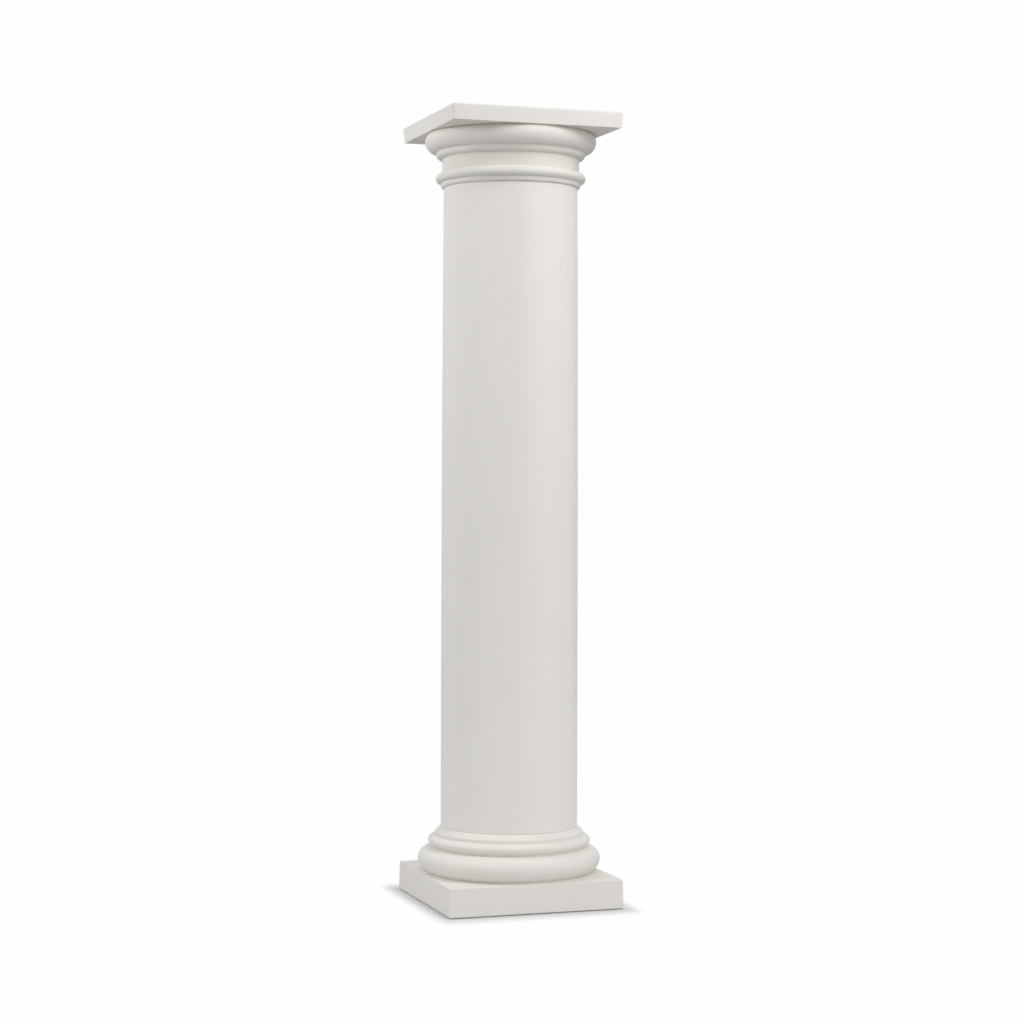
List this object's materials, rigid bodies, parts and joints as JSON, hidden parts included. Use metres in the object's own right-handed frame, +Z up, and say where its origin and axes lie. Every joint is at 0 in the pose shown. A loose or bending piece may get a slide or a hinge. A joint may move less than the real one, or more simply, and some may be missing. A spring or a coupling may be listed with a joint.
{
  "type": "doric column",
  "caption": "Plain round Doric column of cast stone: moulded base on a square plinth, shaft with a slight swell, and a moulded capital under a square abacus.",
  "frame": {"origin": "middle of the plinth's underside, on the column's axis", "axes": "+Z up along the column's axis; X and Y square to the sides of the plinth and the abacus"},
  "size_m": [0.571, 0.571, 2.44],
  "materials": {
    "cast_stone": "matte"
  },
  "bodies": {
    "root": {"base": "cast_stone", "shaft": "cast_stone", "capital": "cast_stone"}
  },
  "joints": []
}
